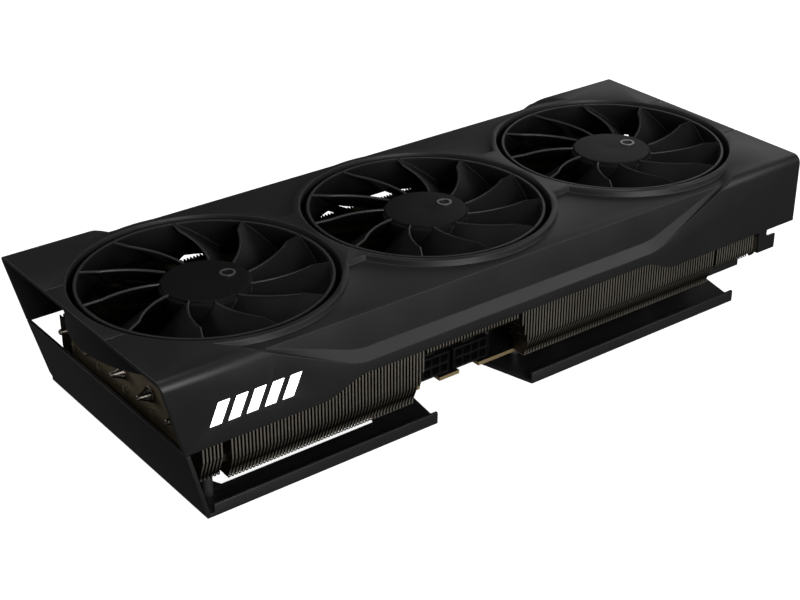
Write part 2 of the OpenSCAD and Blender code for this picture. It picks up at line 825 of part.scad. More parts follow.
// The flat of the bracket, two slots tall, with a tongue for each slot at its far end.
module bracket_outline() {
    taper = 128;
    tongue_w = 10.2;
    difference() {
        polygon([
            [at_y(bracket_near), bracket_low], [at_y(taper - 3), bracket_low],
            [at_y(taper), bracket_low + 4], [at_y(bracket_far), bracket_low + 4],
            [at_y(bracket_far), bracket_low + 4 + tongue_w], [at_y(taper), bracket_low + 4 + tongue_w],
            [at_y(taper), bracket_low + 4 + slot_pitch], [at_y(bracket_far), bracket_low + 4 + slot_pitch],
            [at_y(bracket_far), bracket_low + 4 + slot_pitch + tongue_w],
            [at_y(taper), bracket_low + 4 + slot_pitch + tongue_w],
            [at_y(taper - 3), bracket_low + bracket_h], [at_y(bracket_near), bracket_low + bracket_h]
        ]);
        for (y = display_y) {
            translate([at_y(y) - 9, board_top - 0.2]) square([18, 7]);
        }
        translate([at_y(video_y) - 8.2, board_top - 0.2]) square([16.4, 6.8]);
        for (k = [0:11]) {
            translate([at_y(26 + k * 8), bracket_low + 17]) square([4, 17]);
        }
    }
}

module io_bracket() {
    ear_x = head_x - 8;
    color([0.78, 0.78, 0.8]) difference() {
        union() {
            along(head_x, head_x + bracket_t) bracket_outline();
            block([head_x, at_y(bracket_near), bracket_low],
                  [head_x + tab_l, at_y(bracket_near) + bracket_t, bracket_low + bracket_h]);
            for (y = ear_y) {
                block([ear_x, at_y(y) - 2.1, board_top], [head_x + eps, at_y(y) + 2.1, board_top + bracket_t]);
            }
        }
        for (k = [0, 1]) {
            translate([head_x + 7.4, at_y(bracket_near) - cut, bracket_low + 9.2 + k * slot_pitch]) {
                rotate([-90, 0, 0]) cylinder(r = notch_r, h = bracket_t + 2 * cut);
                translate([0, 0, -notch_r]) cube([tab_l, bracket_t + 2 * cut, 2 * notch_r]);
            }
        }
        for (y = ear_y) {
            translate([head_x - 5, at_y(y), board_top - cut]) cylinder(r = 1, h = bracket_t + 2 * cut);
        }
    }
}

// Two small screws that hold the bracket's ears down on the board.
module bracket_screws() {
    color("dimgray") for (y = ear_y) {
        translate([head_x - 5, at_y(y), board_top]) cylinder(r = 1, h = bracket_t);
        translate([head_x - 5, at_y(y), board_top + bracket_t]) cylinder(r = 1.9, h = 1);
    }
}

// ---------------------------------------------------------------- backplate

// Outline from above: cut away at the power sockets and drawn in beside the bracket.
module backplate_outline() {
    polygon([
        [tail_x(0), at_y(1.2)], [at_x(121), at_y(1.2)], [at_x(125.5), at_y(32)], [at_x(162.5), at_y(32)],
        [at_x(170.5), at_y(1.2)], [at_x(290), at_y(1.2)], [at_x(295.5), at_y(24)], [at_x(319), at_y(24)],
        [at_x(319), at_y(118)], [at_x(290), at_y(118)], [at_x(284), at_y(123.8)], [tail_x(0), at_y(123.8)]
    ]);
}

// Three long windows in the tail half, with slanted ends.
module backplate_windows() {
    for (k = [0:2]) {
        translate([0, k * 32]) polygon([
            [at_x(30), at_y(15.5)], [at_x(100), at_y(15.5)], [at_x(103), at_y(22)],
            [at_x(103), at_y(36)], [at_x(100), at_y(42.5)], [at_x(30), at_y(42.5)],
            [at_x(27), at_y(36)], [at_x(27), at_y(22)]
        ]);
    }
}

// The raked panel that the backplate turns up into at the tail, under the shroud's end.
module tail_panel() {
    panel_top = wall_low - 0.5;
    panel_w = backplate_t / cos(atan(tail_rake));
    intersection() {
        across(at_y(-1), at_y(126)) polygon([
            [tail_x(0), 0], [tail_x(0) + panel_w, 0],
            [tail_x(panel_top) + panel_w, panel_top], [tail_x(panel_top), panel_top]
        ]);
        along(at_x(0), at_x(30)) polygon([
            [at_y(1.2), 0], [at_y(0), panel_top], [at_y(125), panel_top], [at_y(123.8), 4], [at_y(119.8), 0]
        ]);
    }
}

module backplate() {
    color([0.13, 0.13, 0.14]) {
        difference() {
            linear_extrude(backplate_t) backplate_outline();
            translate([0, 0, -cut]) linear_extrude(backplate_t + 2 * cut) backplate_windows();
            at_posts(concat(board_posts, cooler_posts)) {
                translate([0, 0, -eps]) cylinder(r1 = 2.5, r2 = screw_r, h = backplate_t - 0.2);
                cylinder(r = screw_r, h = backplate_t + cut);
            }
        }
        tail_panel();
        block([at_x(18.5), at_y(1.2), 0], [at_x(121), at_y(1.2) + lip_t, lip_h]);
        block([at_x(170.5), at_y(1.2), 0], [at_x(290), at_y(1.2) + lip_t, lip_h]);
        block([at_x(295.5), at_y(24), 0], [at_x(319), at_y(24) + lip_t, lip_h]);
        block([at_x(18.5), at_y(123.8) - lip_t, 0], [at_x(284), at_y(123.8), lip_h]);
    }
}

// Round posts under the board and under the tail of the cooler, tapped at their foot.
module standoffs() {
    color([0.5, 0.5, 0.52]) {
        at_posts(board_posts) ring(2.4, screw_r, backplate_t, board_z);
        at_posts(cooler_posts) difference() {
            translate([0, 0, backplate_t]) cylinder(r = 2, h = 10 - backplate_t);
            translate([0, 0, backplate_t - cut]) cylinder(r = screw_r, h = 5 + cut);
        }
    }
}

// Countersunk screws, flush with the backplate's underside.
module backplate_screws() {
    color([0.3, 0.3, 0.32]) at_posts(concat(board_posts, cooler_posts)) {
        difference() {
            union() {
                translate([0, 0, 0.05]) cylinder(r1 = 2.4, r2 = screw_r - 0.05, h = backplate_t - 0.3);
                translate([0, 0, 0.5]) cylinder(r = screw_r - 0.05, h = 5);
            }
            translate([0, 0, -cut]) cylinder(r = 0.8, h = cut + 0.6, $fn = 6);
        }
    }
}

// Four-armed leaf that pulls the cooler down from behind the board.
module spring_plate() {
    leaf_t = 0.8;
    leaf_z = 6.6;
    color([0.6, 0.6, 0.62]) difference() {
        union() {
            translate([at_x(chip_x), at_y(chip_y), leaf_z]) difference() {
                cylinder(r = 17, h = leaf_t);
                translate([0, 0, -cut]) cylinder(r = 9, h = leaf_t + 2 * cut);
            }
            for (sx = [-1, 1], sy = [-1, 1]) {
                translate([at_x(chip_x), at_y(chip_y), leaf_z])
                    rotate(atan2(sy * screw_dy, sx * screw_dx)) translate([13, -4, 0])
                    cube([norm([screw_dx, screw_dy]) - 9, 8, leaf_t]);
            }
        }
        retention_points() translate([0, 0, leaf_z - cut]) cylinder(r = screw_r + 0.2, h = leaf_t + 2 * cut);
    }
}

module retention_screws() {
    color([0.65, 0.65, 0.67]) retention_points() {
        translate([0, 0, 5.2]) cylinder(r = 2.6, h = 1.4);
        translate([0, 0, 6.5]) cylinder(r = screw_r - 0.02, h = cold_low + 3 - 6.5);
    }
}

// ---------------------------------------------------------------- assembly

shroud();
backplate();
circuit_board();
edge_contacts();
gpu_package();
gpu_die();
memory_chips();
memory_pads();
chokes();
capacitors();
power_stages();
power_connector(0);  // power_connector_1
power_connector(1);  // power_connector_2
power_pins();
display_sockets();
video_socket();
io_bracket();
bracket_screws();
cold_plate();
heat_pipes();
fin_stack_tail();
fin_stack_middle();
fin_stack_head();
fin_end_plate();
light_guide();
led_board();
standoffs();
backplate_screws();
spring_plate();
retention_screws();
for (i = [0:2]) {
    fan_rotor(i);
    fan_frame(i);
    fan_stator(i);
    fan_magnet(i);
    fan_shaft(i);
    fan_bearing(i);
    fan_badge(i);
}
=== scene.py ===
import json
import math

import bmesh
import bpy
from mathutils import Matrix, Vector


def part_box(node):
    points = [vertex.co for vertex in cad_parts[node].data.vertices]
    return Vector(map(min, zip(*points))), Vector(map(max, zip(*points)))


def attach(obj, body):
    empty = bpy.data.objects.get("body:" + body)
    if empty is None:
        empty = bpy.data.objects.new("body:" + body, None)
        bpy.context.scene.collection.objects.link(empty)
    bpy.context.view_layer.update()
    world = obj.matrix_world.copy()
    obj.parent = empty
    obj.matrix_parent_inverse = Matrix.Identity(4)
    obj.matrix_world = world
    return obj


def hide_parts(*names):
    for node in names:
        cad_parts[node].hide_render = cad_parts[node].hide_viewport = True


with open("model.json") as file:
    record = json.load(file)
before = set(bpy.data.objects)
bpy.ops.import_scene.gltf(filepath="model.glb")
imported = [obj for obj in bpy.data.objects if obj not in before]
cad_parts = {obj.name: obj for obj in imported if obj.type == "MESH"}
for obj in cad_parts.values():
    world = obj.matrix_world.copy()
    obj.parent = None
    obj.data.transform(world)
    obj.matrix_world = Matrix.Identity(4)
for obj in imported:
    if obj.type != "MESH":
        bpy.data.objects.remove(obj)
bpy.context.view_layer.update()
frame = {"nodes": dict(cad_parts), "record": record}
MM = 0.001
CARD = "card"

# The card's outer limits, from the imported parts.
TAIL_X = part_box("shroud")[0].x
NEAR_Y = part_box("shroud")[0].y
TOP_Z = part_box("shroud")[1].z


# ------------------------------------------------------------------ materials

# Places of the colour sockets on a mix node.
COLOUR_A = 6
COLOUR_B = 7
COLOUR_OUT = 2

CLOUD_SCALE = 35.0
CLOUD_DETAIL = 5.0
CLOUD_LOW = 0.3
CLOUD_HIGH = 0.7
GRAIN_SCALE = 1500.0
GRAIN_DETAIL = 2.0
GRAIN_DEPTH = 0.1 * MM
ROUGHNESS_SPREAD = 0.08
COAT_ROUGHNESS = 0.25

# How far a face's normal points up or down: the side colour is full up to the first value
# and gone from the second.
SIDE_FULL = 0.3
SIDE_NONE = 0.6

# The lighter edges, partly wear and partly a painted highlight, follow the dot product of the softened
# normal and the true one.
WEAR_SHEEN_WIDTH = 0.6 * MM
WEAR_SHEEN_SAMPLES = 4
WEAR_SHEEN_STARTS = 0.98
WEAR_SHEEN_FULL = 0.75
EDGE_GAIN = 5

# Share of the colour left where the painted shade at the fins' feet is darkest.
FOOT_PAINTED_SHADE = 0.02


def mixed(tree, factor, first, second):
    """A node that blends two colours by factor; gives back its output socket."""
    mix = tree.nodes.new("ShaderNodeMix")
    mix.data_type = "RGBA"
    tree.links.new(factor, mix.inputs["Factor"])
    for place, colour in ((COLOUR_A, first), (COLOUR_B, second)):
        if isinstance(colour, tuple):
            mix.inputs[place].default_value = (*colour, 1)
        else:
            tree.links.new(colour, mix.inputs[place])
    return mix.outputs[COLOUR_OUT]


def ranged(tree, value, low, high, to_low, to_high):
    """A node that maps value from low..high to to_low..to_high; gives back its output socket."""
    span = tree.nodes.new("ShaderNodeMapRange")
    tree.links.new(value, span.inputs["Value"])
    for name, number in (("From Min", low), ("From Max", high), ("To Min", to_low), ("To Max", to_high)):
        span.inputs[name].default_value = number
    return span.outputs["Result"]


def noise(tree, scale, detail):
    """Noise fixed to the object; gives back its output socket."""
    place = tree.nodes.new("ShaderNodeTexCoord")
    clouds = tree.nodes.new("ShaderNodeTexNoise")
    clouds.inputs["Scale"].default_value = scale
    clouds.inputs["Detail"].default_value = detail
    tree.links.new(place.outputs["Object"], clouds.inputs["Vector"])
    return clouds.outputs["Fac"]


def surface(name, colour, roughness, metallic=0.0, variation=0.1, bump=0.03, wear_and_sheen=0.0,
            side_colour=None, coat=0.0, glow=0.0, shine=0.5, painted_foot_shade=None):
    """A procedural material: cloudy colour, uneven roughness, fine grain, and lighter edges that are
    partly wear and partly a painted highlight.

    painted_foot_shade holds three heights of a painted shade: light up to the first, darkest at the
    second and light again from the third.
    """
    mat = bpy.data.materials.new(name)
    mat.use_nodes = True
    tree = mat.node_tree
    shader = tree.nodes["Principled BSDF"]
    shader.inputs["Metallic"].default_value = metallic
    shader.inputs["Specular IOR Level"].default_value = shine
    shader.inputs["Coat Weight"].default_value = coat
    shader.inputs["Coat Roughness"].default_value = COAT_ROUGHNESS
    shader.inputs["Emission Strength"].default_value = glow
    shader.inputs["Emission Color"].default_value = (*colour, 1)

    clouds = noise(tree, CLOUD_SCALE, CLOUD_DETAIL)
    grain = noise(tree, GRAIN_SCALE, GRAIN_DETAIL)
    spread = ranged(tree, clouds, CLOUD_LOW, CLOUD_HIGH, 0.0, 1.0)
    darker = tuple(c * (1 - variation) for c in colour)
    lighter = tuple(min(1.0, c * (1 + variation)) for c in colour)
    tint = mixed(tree, spread, darker, lighter)
    smoother = roughness * (1 - ROUGHNESS_SPREAD)
    rougher = min(1.0, roughness * (1 + ROUGHNESS_SPREAD))
    tree.links.new(ranged(tree, clouds, CLOUD_LOW, CLOUD_HIGH, smoother, rougher),
                   shader.inputs["Roughness"])

    flat = tree.nodes.new("ShaderNodeNewGeometry").outputs["Normal"]
    relief = tree.nodes.new("ShaderNodeBump")
    relief.inputs["Strength"].default_value = bump
    relief.inputs["Distance"].default_value = GRAIN_DEPTH
    tree.links.new(grain, relief.inputs["Height"])
    tree.links.new(relief.outputs["Normal"], shader.inputs["Normal"])

    if side_colour:
        facing = tree.nodes.new("ShaderNodeVectorMath")
        facing.operation = "DOT_PRODUCT"
        facing.inputs[1].default_value = (0, 0, 1)
        tree.links.new(flat, facing.inputs[0])
        upright = tree.nodes.new("ShaderNodeMath")
        upright.operation = "ABSOLUTE"
        tree.links.new(facing.outputs["Value"], upright.inputs[0])
        on_side = ranged(tree, upright.outputs[0], SIDE_FULL, SIDE_NONE, 1.0, 0.0)
        tint = mixed(tree, on_side, tint, side_colour)

    # Painted shade: darker towards the feet of the folded fin edges, where the light falls off, and light
    # again on the teeth below.
    if painted_foot_shade:
        tooth_z, dark_z, light_z = painted_foot_shade
        split = tree.nodes.new("ShaderNodeSeparateXYZ")
        tree.links.new(tree.nodes.new("ShaderNodeNewGeometry").outputs["Position"], split.inputs[0])
        brightest = tree.nodes.new("ShaderNodeMath")
        brightest.operation = "MAXIMUM"
        height = split.outputs["Z"]
        tree.links.new(ranged(tree, height, dark_z, light_z, 0.0, 1.0), brightest.inputs[0])
        tree.links.new(ranged(tree, height, tooth_z, dark_z, 1.0, 0.0), brightest.inputs[1])
        tint = mixed(tree, brightest.outputs[0], tuple(c * FOOT_PAINTED_SHADE for c in colour), tint)

    # Lighter edges: partly wear, partly a painted highlight where the rounded edges catch the light.
    if wear_and_sheen:
        soft_corner = tree.nodes.new("ShaderNodeBevel")
        soft_corner.samples = WEAR_SHEEN_SAMPLES
        soft_corner.inputs["Radius"].default_value = WEAR_SHEEN_WIDTH
        change = tree.nodes.new("ShaderNodeVectorMath")
        change.operation = "DOT_PRODUCT"
        tree.links.new(soft_corner.outputs["Normal"], change.inputs[0])
        tree.links.new(flat, change.inputs[1])
        rubbed_and_sheen = ranged(tree, change.outputs["Value"], WEAR_SHEEN_STARTS, WEAR_SHEEN_FULL, 0.0, wear_and_sheen)
        tint = mixed(tree, rubbed_and_sheen, tint, tuple(min(1.0, c * EDGE_GAIN) for c in colour))
        tree.links.new(soft_corner.outputs["Normal"], relief.inputs["Normal"])

    tree.links.new(tint, shader.inputs["Base Color"])
    return mat


CHARCOAL = (0.020, 0.020, 0.0205)

# One material for each slot, and three lighter copies for added pieces, which paint in the highlight on
# folded fin edges and fan edges and the reflection on the outermost fin.
FINISH = {
    "shroud_plastic": surface("shroud_plastic", CHARCOAL, 0.45, wear_and_sheen=0.6),
    "backplate_metal": surface("backplate_metal", CHARCOAL, 0.42, wear_and_sheen=0.3),
    "board": surface("board", (0.010, 0.011, 0.011), 0.35, side_colour=(0.33, 0.25, 0.13), coat=0.3),
    "gold_contact": surface("gold_contact", (0.83, 0.6, 0.25), 0.3, metallic=1.0),
    "chip_carrier": surface("chip_carrier", (0.02, 0.06, 0.03), 0.4),
    "silicon": surface("silicon", (0.3, 0.31, 0.35), 0.12, metallic=0.8),
    "chip_black": surface("chip_black", (0.015, 0.015, 0.016), 0.5),
    "thermal_pad": surface("thermal_pad", (0.35, 0.4, 0.5), 0.8),
    "choke_block": surface("choke_block", (0.03, 0.03, 0.032), 0.6),
    "capacitor_can": surface("capacitor_can", (0.4, 0.41, 0.43), 0.3, metallic=1.0),
    "connector_black": surface("connector_black", (0.0045, 0.0045, 0.005), 0.45, wear_and_sheen=1.0, shine=0.2),
    "socket_steel": surface("socket_steel", (0.6, 0.6, 0.62), 0.35, metallic=1.0),
    "bracket_steel": surface("bracket_steel", (0.03, 0.03, 0.032), 0.42, metallic=0.4),
    "screw_dark": surface("screw_dark", (0.05, 0.05, 0.055), 0.4, metallic=0.6),
    "copper_nickel": surface("copper_nickel", (0.5, 0.46, 0.42), 0.3, metallic=1.0),
    "heat_pipe": surface("heat_pipe", (0.42, 0.38, 0.33), 0.28, metallic=1.0),
    # The fin metal is kept dark as painted shade between the fins; the next finish is a much lighter copy
    # of it, a painted highlight on the folded edges, with painted shade towards their feet.
    "fin_metal": surface("fin_metal", (0.08, 0.068, 0.046), 0.42, metallic=0.9),
    "fin_edge_lit": surface("fin_edge_lit", (0.80, 0.74, 0.62), 0.35, metallic=0.9,
                        painted_foot_shade=(12 * MM, 15 * MM, 23 * MM)),
    # A lighter, browner copy of the fin metal: a painted reflection of the white floor on the outermost
    # fin.
    "fin_face_reflection": surface("fin_face_reflection", (0.42, 0.35, 0.24), 0.5, metallic=0.3),
    # A lighter copy of the fan plastic: a painted highlight on the ring tops and leading edges.
    "fan_edge_highlight": surface("fan_edge_highlight", (0.040, 0.040, 0.041), 0.45),
    "light_guide": surface("light_guide", (0.95, 0.97, 1.0), 0.3, glow=4.0),
    "led_board": surface("led_board", (0.02, 0.08, 0.04), 0.4),
    "standoff_metal": surface("standoff_metal", (0.10, 0.10, 0.105), 0.4, metallic=0.6),
    "spring_steel": surface("spring_steel", (0.5, 0.5, 0.52), 0.35, metallic=1.0),
    "screw_bright": surface("screw_bright", (0.6, 0.6, 0.62), 0.3, metallic=1.0),
    "fan_plastic": surface("fan_plastic", (0.011, 0.011, 0.0115), 0.45, wear_and_sheen=0.8, shine=0.1),
    "fan_frame_plastic": surface("fan_frame_plastic", (0.004, 0.004, 0.0045), 0.5, shine=0.2),
    "stator_winding": surface("stator_winding", (0.4, 0.18, 0.08), 0.4, metallic=0.7),
    "magnet": surface("magnet", (0.05, 0.05, 0.055), 0.6),
    "shaft_steel": surface("shaft_steel", (0.6, 0.6, 0.62), 0.15, metallic=1.0),
    "bearing_bronze": surface("bearing_bronze", (0.55, 0.4, 0.2), 0.35, metallic=1.0),
    "badge_metal": surface("badge_metal", (0.35, 0.35, 0.36), 0.4, metallic=0.9),
}

for part in frame["record"]["subparts"]:
    shown = frame["nodes"][part["node"]]
    shown.data.materials.clear()
    shown.data.materials.append(FINISH[part["material_slot"]])


# ------------------------------------------------------------------ mesh helpers

def finished(maker, name, slot, body=CARD, smooth_deg=35, finish=None):
    """Turn a bmesh into a piece that rides on a body and wears the named finish, or else the finish of
    the slot.
    """
    bmesh.ops.recalc_face_normals(maker, faces=maker.faces)
    mesh = bpy.data.meshes.new(name)
    maker.to_mesh(mesh)
    maker.free()
    for polygon in mesh.polygons:
        polygon.use_smooth = True
    mesh.set_sharp_from_angle(angle=math.radians(smooth_deg))
    mesh.materials.append(FINISH[finish or slot])
    piece = bpy.data.objects.new(name, mesh)
    bpy.context.scene.collection.objects.link(piece)
    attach(piece, body)
    return piece


# Two directions across an axis, then the axis itself.
UPRIGHT = (Vector((1, 0, 0)), Vector((0, 1, 0)), Vector((0, 0, 1)))
LENGTHWAYS = (Vector((0, 1, 0)), Vector((0, 0, 1)), Vector((1, 0, 0)))

# Turned outlines stop this far from the axis, so that no face collapses there.
NEARLY_AXIS = 0.05 * MM


def lathe(maker, profile, centre, steps=96, frame_axes=UPRIGHT):
    """Turn a closed outline of (radius, distance along the axis) points round an axis."""
    side, other, axis = frame_axes
    rows = []
    for k in range(steps):
        turn = math.tau * k / steps
        spoke = side * math.cos(turn) + other * math.sin(turn)
        rows.append([maker.verts.new(centre + spoke * p[0] + axis * p[1]) for p in profile])
    for k in range(steps):
        here, there = rows[k], rows[(k + 1) % steps]
        for j in range(len(profile)):
            n = (j + 1) % len(profile)
            maker.faces.new((here[j], there[j], there[n], here[n]))


def rounded(points, radius, steps=4):
    """Replace each corner of a closed outline with a curve that starts at most radius away."""
    outline = []
    for i, corner in enumerate(points):
        corner = Vector(corner)
        before, after = Vector(points[i - 1]), Vector(points[(i + 1) % len(points)])
        reach = min(radius, (before - corner).length / 2, (after - corner).length / 2)
        start = corner + (before - corner).normalized() * reach
        end = corner + (after - corner).normalized() * reach
        for k in range(steps + 1):
            t = k / steps
            outline.append(start.lerp(corner, t).lerp(corner.lerp(end, t), t))
    return outline


WELD_WITHIN = 0.001 * MM
FLAT_WITHIN = math.radians(0.5)
SHARP_FROM = math.radians(28)


def softened(node, slot, width, name):
    """A copy of a CAD part with every sharp edge bevelled, shown in its place."""
    maker = bmesh.new()
    maker.from_mesh(frame["nodes"][node].data)
    bmesh.ops.remove_doubles(maker, verts=maker.verts, dist=WELD_WITHIN)
    bmesh.ops.dissolve_limit(maker, angle_limit=FLAT_WITHIN, verts=maker.verts, edges=maker.edges)
    sharp = [e for e in maker.edges if len(e.link_faces) == 2 and e.calc_face_angle() > SHARP_FROM]
    bmesh.ops.bevel(maker, geom=sharp, offset=width, segments=2, profile=0.5, affect="EDGES",
                    clamp_overlap=True)
    piece = finished(maker, name, slot)
    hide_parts(node)


# ------------------------------------------------------------------ fans

BLADES = 11
HUB_R = 18.3 * MM
HUB_WALL = 1.6 * MM
HUB_STEP_IN = 1.1 * MM
HUB_STEP_DOWN = 1.3 * MM
HUB_BELOW_TOP = 3 * MM
RING_T = 1.6 * MM
RING_BELOW_BLADES = 0.3 * MM
RING_STEPS = 128
HUB_STEPS = 96
RIM_CORNER = 0.5 * MM
ROOT_INSIDE_HUB = 0.7 * MM
ROOT_DROP = 2.2 * MM
TRAILING_LIFT = 0.3 * MM
BLADE_T = 1.1 * MM
BLADE_BULGE = 0.4 * MM
# Thickness as a share of BLADE_T: this much in front, less toward the back, more at the very front.
FRONT_SHARE = 0.8
BACK_LOSS = 0.35
FRONT_SWELL = 0.3
SWELL_REACH = 0.05
# Above 1, so that the mesh is finest along the leading edge.
CHORD_CROWDING = 1.6
CHORD_AT_ROOT_DEG = 25
CHORD_LOST_DEG = 4
LEADING_SWEEP = math.radians(19.5)
# The leading edge sweeps forward up to this share of the blade, then runs almost straight out.
KINK = 0.75
SWEEP_BEFORE_KINK = 0.93
EDGE_BEAD_R = 0.5 * MM
EDGE_STEPS = 24
FAN_TURN = [math.radians(a) for a in (139.5, 132.0, 128.0)]


def leading_angle(u):
    """Angle of a blade's leading edge ahead of its root, at a share u of the way to the ring."""
    if u < KINK:
        return LEADING_SWEEP * SWEEP_BEFORE_KINK * u / KINK
    past = (u - KINK) / (1 - KINK)
    return LEADING_SWEEP * (SWEEP_BEFORE_KINK + (1 - SWEEP_BEFORE_KINK) * past)


def blade_point(u, v, centre, ring_r, low, high):
    """Middle of the blade's thickness: u runs from root to ring, v from leading to trailing edge."""
    root_r = HUB_R - ROOT_INSIDE_HUB
    r = root_r + u * (ring_r - RING_T / 2 - root_r)
    angle = leading_angle(u) - v * math.radians(CHORD_AT_ROOT_DEG - CHORD_LOST_DEG * u)
    lead_z = high - ROOT_DROP * (1 - min(1, u / KINK)) - BLADE_T / 2
    trail_z = low + TRAILING_LIFT + BLADE_T / 2
    z = lead_z * (1 - v) + trail_z * v + BLADE_BULGE * math.sin(math.pi * v)
    return Vector((centre.x + r * math.cos(angle), centre.y + r * math.sin(angle), z))


def turned(point, centre, turn):
    """The point turned about the upright line through centre."""
    offset = point - centre
    return Vector((
        centre.x + offset.x * math.cos(turn) - offset.y * math.sin(turn),
        centre.y + offset.x * math.sin(turn) + offset.y * math.cos(turn),
        point.z,
    ))


def tube(maker, points, radius, sides=8):
    """A round bar along a line of points."""
    rows = []
    for i, point in enumerate(points):
        along = (points[min(i + 1, len(points) - 1)] - points[max(i - 1, 0)]).normalized()
        side = along.cross(Vector((0, 0, 1))).normalized()
        rise = side.cross(along)
        row = []
        for j in range(sides):
            a = math.tau * j / sides
            row.append(maker.verts.new(point + radius * (math.cos(a) * side + math.sin(a) * rise)))
        rows.append(row)
    for a, b in zip(rows, rows[1:]):
        for j in range(sides):
            n = (j + 1) % sides
            maker.faces.new((a[j], b[j], b[n], a[n]))
    maker.faces.new(rows[0])
    maker.faces.new(rows[-1])


def blade_half(v):
    """Half the thickness of a blade at a share v of the way back from its leading edge."""
    swell = FRONT_SWELL * math.exp(-(v / SWELL_REACH) ** 2)
    return BLADE_T / 2 * (FRONT_SHARE - BACK_LOSS * v + swell)


def blade(maker, turn, centre, ring_r, low, high, along=18, chord=14):
    """One swept blade, thickest at its leading edge."""
    rows = []
    for i in range(along + 1):
        upper, under = [], []
        for j in range(chord + 1):
            v = (j / chord) ** CHORD_CROWDING
            middle = blade_point(i / along, v, centre, ring_r, low, high)
            half = blade_half(v)
            place = turned(middle, centre, turn)
            upper.append(maker.verts.new((place.x, place.y, place.z + half)))
            under.append(maker.verts.new((place.x, place.y, place.z - half)))
        rows.append(upper + under[::-1])
    count = len(rows[0])
    for i in range(along):
        for j in range(count):
            n = (j + 1) % count
            maker.faces.new((rows[i][j], rows[i + 1][j], rows[i + 1][n], rows[i][n]))
    maker.faces.new(rows[0])
    maker.faces.new(rows[-1])


def rotor_sizes(node):
    """Centre line, ring radius, underside and blade top of a packed rotor."""
    low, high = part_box(node)
    centre = (low + high) / 2
    centre.z = 0
    return centre, (high.x - low.x) / 2, low.z, high.z


def ring_outline(ring_r, low_z, ring_top):
    """Half section of the ring that joins the blade tips."""
    inner_r = ring_r - RING_T
    return [(inner_r, low_z), (ring_r, low_z), (ring_r, ring_top), (inner_r, ring_top)]


def hub_outline(low_z):
    """Half section of the hub: a cup, open below, with a shallow step round its top."""
    top = TOP_Z - HUB_BELOW_TOP
    shoulder = top - HUB_STEP_DOWN
    inner_r = HUB_R - HUB_WALL
    step_r = HUB_R - HUB_STEP_IN
    return [
        (inner_r, low_z), (HUB_R, low_z), (HUB_R, shoulder), (step_r, shoulder), (step_r, top),
        (NEARLY_AXIS, top), (NEARLY_AXIS, top - HUB_WALL), (inner_r, top - HUB_WALL),
    ]


def lip_outline(ring_r, ring_top):
    """Half section of the lip on top of the ring, which carries a painted highlight."""
    inset = 0.3 * MM
    lip_in = ring_r - RING_T + inset
    lip_out = ring_r - inset
    low_z = ring_top - 0.3 * MM
    high_z = ring_top + 0.1 * MM
    return [(lip_in, low_z), (lip_out, low_z), (lip_out, high_z), (lip_in, high_z)]


def rotor(i):
    """Ring, hub and blades of fan i, shown in place of the CAD rotor."""
    node = f"fan_rotor_{i}"
    centre, ring_r, low_z, high_z = rotor_sizes(node)
    ring_top = high_z - RING_BELOW_BLADES
    turn = FAN_TURN[i - 1] - LEADING_SWEEP
    maker = bmesh.new()
    lathe(maker, rounded(ring_outline(ring_r, low_z, ring_top), RIM_CORNER), centre, RING_STEPS)
    lathe(maker, rounded(hub_outline(low_z), RIM_CORNER, 5), centre, HUB_STEPS)
    for k in range(BLADES):
        blade(maker, turn + k * math.tau / BLADES, centre, ring_r, low_z, high_z)
    piece = finished(maker, f"rotor_{i}", "fan_plastic", f"fan_{i}", smooth_deg=40)
    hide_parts(node)


def rotor_edge_highlights(i):
    """Painted highlight on fan i: a lip on its ring and beads along its leading edges, in a lighter copy
    of the fan plastic.
    """
    centre, ring_r, low_z, high_z = rotor_sizes(f"fan_rotor_{i}")
    ring_top = high_z - RING_BELOW_BLADES
    turn = FAN_TURN[i - 1] - LEADING_SWEEP
    maker = bmesh.new()
    lathe(maker, rounded(lip_outline(ring_r, ring_top), 0.15 * MM), centre, RING_STEPS)
    edge = [blade_point(step / EDGE_STEPS, 0.0, centre, ring_r, low_z, high_z)
            for step in range(EDGE_STEPS + 1)]
    for k in range(BLADES):
        tube(maker, [turned(p, centre, turn + k * math.tau / BLADES) for p in edge], EDGE_BEAD_R)
    finished(maker, f"rotor_edge_highlights_{i}", "fan_plastic", f"fan_{i}", finish="fan_edge_highlight")


# ------------------------------------------------------------------ fins

FIN_PITCH = 1.52 * MM
FIN_NEAR = NEAR_Y + 3 * MM
FLANGE_W = 0.60 * MM
FLANGE_T = 0.18 * MM
FIN_STEP_Z = 35.8 * MM


def flange(maker, x, path, width=FLANGE_W):
    """A folded strip along one fin's edge. Path holds its (y, z) points in order."""
    rows = []
    for i, (y, z) in enumerate(path):
        before = Vector(path[max(i - 1, 0)])
        after = Vector(path[min(i + 1, len(path) - 1)])
        run = (after - before).normalized()
        out = Vector((run.y, -run.x)) * FLANGE_T
        rows.append([maker.verts.new(p) for p in (
            (x, y, z), (x + width, y, z),
            (x + width, y + out.x, z + out.y), (x, y + out.x, z + out.y))])
    for a, b in zip(rows, rows[1:]):
        for j in range(4):
            n = (j + 1) % 4
            maker.faces.new((a[j], b[j], b[n], a[n]))
    maker.faces.new(rows[0])
    maker.faces.new(rows[-1])


def long_edge(foot, slant_h):
    """Edge of a full fin: down the near side, along the slant, upright to the foot and inward."""
    slant_w = 4 * MM
    hook_y = FIN_NEAR + slant_w - 1.1 * MM
    return [
        (FIN_NEAR, FIN_STEP_Z), (FIN_NEAR, foot + slant_h + 0.8 * MM),
        (FIN_NEAR + 0.4 * MM, foot + slant_h - 0.6 * MM),
        (hook_y, foot + 2.0 * MM), (hook_y, foot + 0.4 * MM),
        (hook_y + 0.5 * MM, foot), (FIN_NEAR + slant_w + 3 * MM, foot),
    ]


